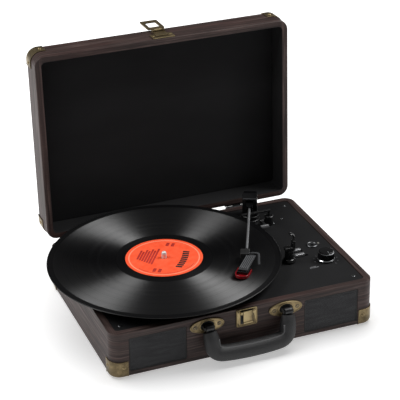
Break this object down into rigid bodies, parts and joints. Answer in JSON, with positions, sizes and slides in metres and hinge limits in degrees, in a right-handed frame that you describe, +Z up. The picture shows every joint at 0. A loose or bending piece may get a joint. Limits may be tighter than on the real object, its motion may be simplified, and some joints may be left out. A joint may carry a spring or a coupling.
{
  "type": "suitcase record player",
  "caption": "Portable record player in a hinged suitcase, open, with a record on its platter, tonearm, carrying handle, latch and front speakers.",
  "frame": {"origin": "on the surface that the feet stand on, under the middle of the open player's bounding box", "axes": "+X to the right as the user faces the latch, +Y to the hinges at the back, +Z up"},
  "size_m": [0.3862, 0.3633, 0.3263],
  "materials": {
    "wood_wrap": "dark wood-grain vinyl wrap, satin",
    "lining": "matt black lining",
    "deck": "matt black textured board",
    "brass": "antique plated",
    "cloth": "fine woven speaker cloth",
    "black_plastic": "moulded black",
    "grip": "dark grey leatherette",
    "steel": "bright",
    "grey_plastic": "satin grey",
    "vinyl": "pressed and grooved",
    "label": "coated paper",
    "red_plastic": "clear red moulding",
    "rubber": "matt",
    "board": "circuit board",
    "fibreboard": "raw hardboard",
    "felt": "pressed felt"
  },
  "bodies": {
    "base": {"base_shell": "wood_wrap", "bottom_panel": "fibreboard", "deck_plate": "deck", "base_corner_front_left": "brass", "base_corner_front_right": "brass", "base_corner_back_left": "brass", "base_corner_back_right": "brass", "hinge_left_base_leaf": "brass", "hinge_right_base_leaf": "brass", "latch_plate": "brass", "handle_plate_left": "brass", "handle_plate_right": "brass", "speaker_grille_left": "cloth", "speaker_grille_right": "cloth", "speaker_driver_left": "black_plastic", "speaker_driver_right": "black_plastic", "spindle_bush": "brass", "motor": "steel", "drive_belt": "rubber", "circuit_board": "board", "tonearm_base": "black_plastic", "arm_rest_post": "black_plastic", "cue_housing": "black_plastic", "headphone_jack": "steel", "rear_socket_panel": "black_plastic", "foot_front_left": "rubber", "foot_front_right": "rubber", "foot_back_left": "rubber", "foot_back_right": "rubber"},
    "lid": {"lid_shell": "wood_wrap", "lid_lining": "lining", "lid_corner_front_left": "brass", "lid_corner_front_right": "brass", "lid_corner_back_left": "brass", "lid_corner_back_right": "brass", "hinge_left_lid_leaf": "brass", "hinge_right_lid_leaf": "brass", "hasp_plate": "brass"},
    "hasp": {"hasp_loop": "brass"},
    "catch": {"latch_catch": "brass"},
    "handle": {"handle_grip": "grip"},
    "turntable": {"platter": "black_plastic", "slip_mat": "felt", "platter_spindle": "steel", "record_disc": "vinyl", "record_label": "label"},
    "pulley": {"motor_pulley": "brass"},
    "turret": {"tonearm_turret": "black_plastic"},
    "tonearm": {"tonearm_block": "black_plastic", "tonearm_tube": "grey_plastic", "headshell": "grey_plastic", "cartridge": "black_plastic", "stylus": "red_plastic", "finger_lift": "black_plastic"},
    "rest_clip": {"arm_rest_clip": "black_plastic"},
    "cue": {"cue_lever": "grey_plastic"},
    "lift_bar": {"cue_lift_bar": "black_plastic"},
    "volume": {"volume_knob": "black_plastic"},
    "speed": {"speed_switch": "grey_plastic"},
    "autostop": {"autostop_switch": "grey_plastic"}
  },
  "joints": [
    {"name": "lid_hinge", "type": "hinge", "parent": "base", "child": "lid", "pos_m": [0.016, 0.1054, 0.061], "axis": [1, 0, 0], "range_deg": [0, 10]},
    {"name": "hasp_swing", "type": "hinge", "parent": "lid", "child": "hasp", "pos_m": [0.016, 0.14173, 0.32444], "axis": [1, 0, 0], "range_deg": [0, 180]},
    {"name": "catch_press", "type": "hinge", "parent": "base", "child": "catch", "pos_m": [0.016, -0.1595, 0.0584], "axis": [1, 0, 0], "range_deg": [0, 6], "stiffness_Nm_per_rad": 0.05, "springref_deg": -11.46},
    {"name": "handle_swing", "type": "hinge", "parent": "base", "child": "handle", "pos_m": [0.016, -0.1636, 0.0505], "axis": [-1, 0, 0], "range_deg": [0, 125]},
    {"name": "platter_spin", "type": "hinge", "parent": "base", "child": "turntable", "pos_m": [-0.042, -0.0216, 0.062], "axis": [0, 0, 1], "continuous": true},
    {"name": "pulley_spin", "type": "hinge", "parent": "base", "child": "pulley", "pos_m": [-0.1014, 0.0378, 0.062], "axis": [0, 0, 1], "continuous": true},
    {"name": "tonearm_swing", "type": "hinge", "parent": "base", "child": "turret", "pos_m": [0.114, 0.0634, 0.071], "axis": [0, 0, 1], "range_deg": [-16, 24]},
    {"name": "tonearm_lift", "type": "hinge", "parent": "turret", "child": "tonearm", "pos_m": [0.114, 0.0634, 0.087], "axis": [-0.9085, 0.4179, 0], "range_deg": [0, 8]},
    {"name": "cue_lever_turn", "type": "hinge", "parent": "base", "child": "cue", "pos_m": [0.132, 0.0394, 0.0686], "axis": [-1, 0, 0], "range_deg": [0, 58]},
    {"name": "lift_bar_rise", "type": "slide", "parent": "base", "child": "lift_bar", "axis": [0, 0, 1], "range_m": [0, 0.0034]},
    {"name": "rest_clip_turn", "type": "hinge", "parent": "base", "child": "rest_clip", "pos_m": [0.11858, -0.0686, 0.0916], "axis": [0, -1, 0], "range_deg": [0, 90]},
    {"name": "volume_turn", "type": "hinge", "parent": "base", "child": "volume", "pos_m": [0.1595, -0.0821, 0.07], "axis": [0, 0, -1], "range_deg": [0, 270]},
    {"name": "speed_slide", "type": "slide", "parent": "base", "child": "speed", "axis": [1, 0, 0], "range_m": [0, 0.008]},
    {"name": "autostop_slide", "type": "slide", "parent": "base", "child": "autostop", "axis": [1, 0, 0], "range_m": [0, 0.004]}
  ],
  "couplings": [
    {"joint": "pulley_spin", "follows": "platter_spin", "ratio": 11.924},
    {"joint": "cue_lever_turn", "follows": "tonearm_lift", "ratio": 7},
    {"joint": "lift_bar_rise", "follows": "tonearm_lift", "m_per_rad": 0.02292}
  ]
}
